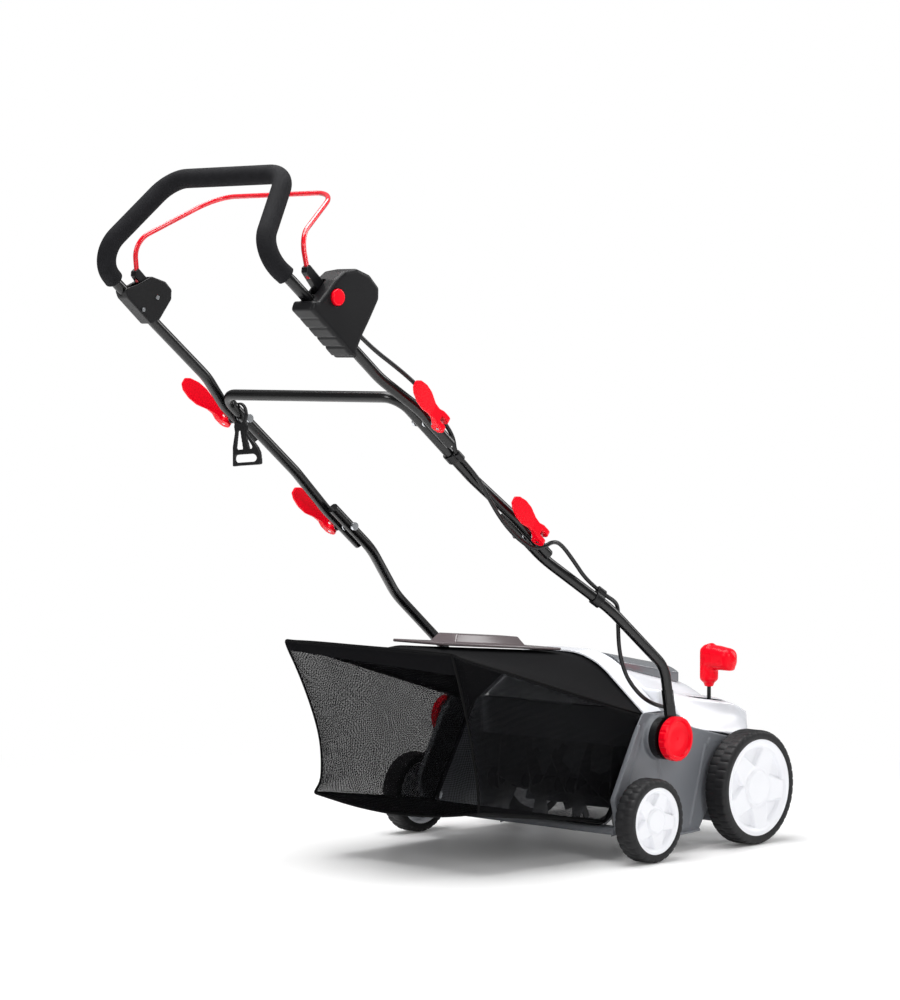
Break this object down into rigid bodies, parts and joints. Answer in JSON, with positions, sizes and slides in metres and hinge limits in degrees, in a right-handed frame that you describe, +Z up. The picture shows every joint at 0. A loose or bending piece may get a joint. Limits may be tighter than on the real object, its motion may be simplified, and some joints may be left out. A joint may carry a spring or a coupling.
{
  "type": "lawn dethatcher",
  "caption": "Walk-behind electric lawn scarifier with a bladed drum, moulded deck and hood, lugged wheels, folding tube handle with switch bail and a rear mesh grass bag.",
  "frame": {"origin": "centre of the bounding box in plan, on the lawn plane under the wheels", "axes": "+X the way the machine is pushed, -Y the user's right hand side, +Z up"},
  "size_m": [1.2061, 0.585, 1.15],
  "materials": {
    "deck_grey": "fine moulded grain",
    "hood_white": "gloss injection moulding",
    "insert_black": "gloss",
    "red_plastic": "satin gloss",
    "black_plastic": "fine grain",
    "wheel_hub": "satin moulded",
    "tyre_rubber": "matt",
    "handle_paint": "semi-gloss powder coat",
    "bail_paint": "gloss dip coat",
    "blade_steel": "stamped and zinc plated",
    "bolt_steel": "zinc plated",
    "wire_steel": "black coat",
    "foam": "closed-cell foam skin",
    "bag_fabric": "woven mesh",
    "lead_pvc": "PVC sheath",
    "motor_case": "moulded",
    "belt_rubber": "toothed belt"
  },
  "bodies": {
    "deck": {"deck_shell": "deck_grey", "hood": "hood_white", "hood_insert": "insert_black", "rear_axles": "bolt_steel", "side_bolts": "bolt_steel", "ratchet_discs": "black_plastic", "motor_housing": "motor_case", "drum_bearings": "black_plastic", "drive_belt": "belt_rubber", "belt_cover": "deck_grey", "cover_screws": "bolt_steel", "flap_rod": "bolt_steel", "lead_grommet": "black_plastic"},
    "axle": {"front_axle": "bolt_steel", "depth_rod": "bolt_steel", "depth_grip": "red_plastic"},
    "front_wheel_right": {"front_hub_right": "wheel_hub", "front_tyre_right": "tyre_rubber"},
    "front_wheel_left": {"front_hub_left": "wheel_hub", "front_tyre_left": "tyre_rubber"},
    "rear_wheel_right": {"rear_hub_right": "wheel_hub", "rear_tyre_right": "tyre_rubber"},
    "rear_wheel_left": {"rear_hub_left": "wheel_hub", "rear_tyre_left": "tyre_rubber"},
    "drum": {"drum_shaft": "bolt_steel", "drum_spacers": "black_plastic", "drum_blades": "blade_steel", "drum_pulley": "black_plastic"},
    "motor": {"motor_shaft": "bolt_steel", "motor_pulley": "bolt_steel"},
    "lower_handle": {"lower_tube_right": "handle_paint", "lower_tube_left": "handle_paint", "lower_clamp_bolts": "bolt_steel", "lower_clip": "black_plastic", "lead_lower": "lead_pvc"},
    "middle_handle": {"mid_tube": "handle_paint", "upper_clamp_bolts": "bolt_steel", "mid_clip": "black_plastic", "lead_middle": "lead_pvc"},
    "upper_handle": {"upper_tube": "handle_paint", "foam_grip": "foam", "switch_box": "black_plastic", "switch_inlet": "black_plastic", "left_housing": "black_plastic", "housing_screws": "bolt_steel", "lead_upper": "lead_pvc"},
    "lower_cam_right": {"lower_cam_right": "red_plastic"},
    "lower_cam_left": {"lower_cam_left": "red_plastic"},
    "upper_cam_right": {"upper_cam_right": "red_plastic"},
    "upper_cam_left": {"upper_cam_left": "red_plastic"},
    "bail": {"bail_rod": "bail_paint", "bail_arms": "black_plastic"},
    "button": {"safety_button": "red_plastic"},
    "flap": {"rear_flap": "hood_white"},
    "bag": {"bag_fabric": "bag_fabric", "bag_frame": "wire_steel", "bag_lid": "insert_black"},
    "knob_right": {"knob_right": "red_plastic"},
    "knob_left": {"knob_left": "red_plastic"},
    "hook": {"cable_hook": "black_plastic"}
  },
  "joints": [
    {"name": "depth_set", "type": "hinge", "parent": "deck", "child": "axle", "pos_m": [0.483, 0, 0.1], "axis": [0, 1, 0], "range_deg": [-15, 20]},
    {"name": "front_roll_right", "type": "hinge", "parent": "axle", "child": "front_wheel_right", "pos_m": [0.503, -0.257, 0.1], "axis": [0, 1, 0], "continuous": true},
    {"name": "front_roll_left", "type": "hinge", "parent": "axle", "child": "front_wheel_left", "pos_m": [0.503, 0.257, 0.1], "axis": [0, 1, 0], "continuous": true},
    {"name": "rear_roll_right", "type": "hinge", "parent": "deck", "child": "rear_wheel_right", "pos_m": [0.214, -0.268, 0.071], "axis": [0, 1, 0], "continuous": true},
    {"name": "rear_roll_left", "type": "hinge", "parent": "deck", "child": "rear_wheel_left", "pos_m": [0.214, 0.268, 0.071], "axis": [0, 1, 0], "continuous": true},
    {"name": "drum_spin", "type": "hinge", "parent": "deck", "child": "drum", "pos_m": [0.368, 0, 0.088], "axis": [0, 1, 0], "continuous": true},
    {"name": "motor_spin", "type": "hinge", "parent": "deck", "child": "motor", "pos_m": [0.483, 0.11, 0.195], "axis": [0, 1, 0], "continuous": true},
    {"name": "handle_fold", "type": "hinge", "parent": "deck", "child": "lower_handle", "pos_m": [0.291, 0, 0.202], "axis": [0, 1, 0], "range_deg": [0, 30], "deforming": ["lead_lower"]},
    {"name": "middle_fold", "type": "hinge", "parent": "lower_handle", "child": "middle_handle", "pos_m": [-0.02715, 0, 0.55897], "axis": [0, 1, 0], "range_deg": [0, 147], "deforming": ["lead_middle", "lead_lower"]},
    {"name": "upper_fold", "type": "hinge", "parent": "middle_handle", "child": "upper_handle", "pos_m": [-0.27037, 0, 0.74793], "axis": [0, -1, 0], "range_deg": [0, 90], "deforming": ["lead_upper", "lead_middle"]},
    {"name": "bail_pull", "type": "hinge", "parent": "upper_handle", "child": "bail", "pos_m": [-0.47527, 0, 0.94385], "axis": [0, -1, 0], "range_deg": [0, 18], "stiffness_Nm_per_rad": 1.2, "springref_deg": -14.32},
    {"name": "button_press", "type": "slide", "parent": "upper_handle", "child": "button", "axis": [0, 1, 0], "range_m": [0, 0.005], "stiffness_N_per_m": 400, "springref_m": -0.002},
    {"name": "flap_lift", "type": "hinge", "parent": "deck", "child": "flap", "pos_m": [0.3195, 0, 0.3325], "axis": [0, 1, 0], "range_deg": [0, 60], "stiffness_Nm_per_rad": 0.25, "springref_deg": -34.38},
    {"name": "bag_pull", "type": "slide", "parent": "deck", "child": "bag", "axis": [-1, 0, 0], "range_m": [0, 0.12]},
    {"name": "knob_turn_right", "type": "hinge", "parent": "deck", "child": "knob_right", "pos_m": [0.291, -0.266, 0.202], "axis": [0, 1, 0], "continuous": true},
    {"name": "knob_turn_left", "type": "hinge", "parent": "deck", "child": "knob_left", "pos_m": [0.291, 0.266, 0.202], "axis": [0, 1, 0], "continuous": true},
    {"name": "hook_swing", "type": "hinge", "parent": "middle_handle", "child": "hook", "pos_m": [-0.28459, 0.203, 0.75898], "axis": [-0.7897, 0, 0.6135], "range_deg": [0, 25]},
    {"name": "lower_cam_right_open", "type": "hinge", "parent": "lower_handle", "child": "lower_cam_right", "pos_m": [-0.02715, -0.2405, 0.55897], "axis": [0.6135, 0, 0.7897], "range_deg": [0, 100]},
    {"name": "lower_cam_left_open", "type": "hinge", "parent": "lower_handle", "child": "lower_cam_left", "pos_m": [-0.02715, 0.2405, 0.55897], "axis": [-0.6135, 0, -0.7897], "range_deg": [0, 100]},
    {"name": "upper_cam_right_open", "type": "hinge", "parent": "middle_handle", "child": "upper_cam_right", "pos_m": [-0.27037, -0.246, 0.74793], "axis": [0.6135, 0, 0.7897], "range_deg": [0, 100]},
    {"name": "upper_cam_left_open", "type": "hinge", "parent": "middle_handle", "child": "upper_cam_left", "pos_m": [-0.27037, 0.246, 0.74793], "axis": [-0.6135, 0, -0.7897], "range_deg": [0, 100]}
  ],
  "couplings": [
    {"joint": "motor_spin", "follows": "drum_spin", "ratio": 2.3077}
  ]
}
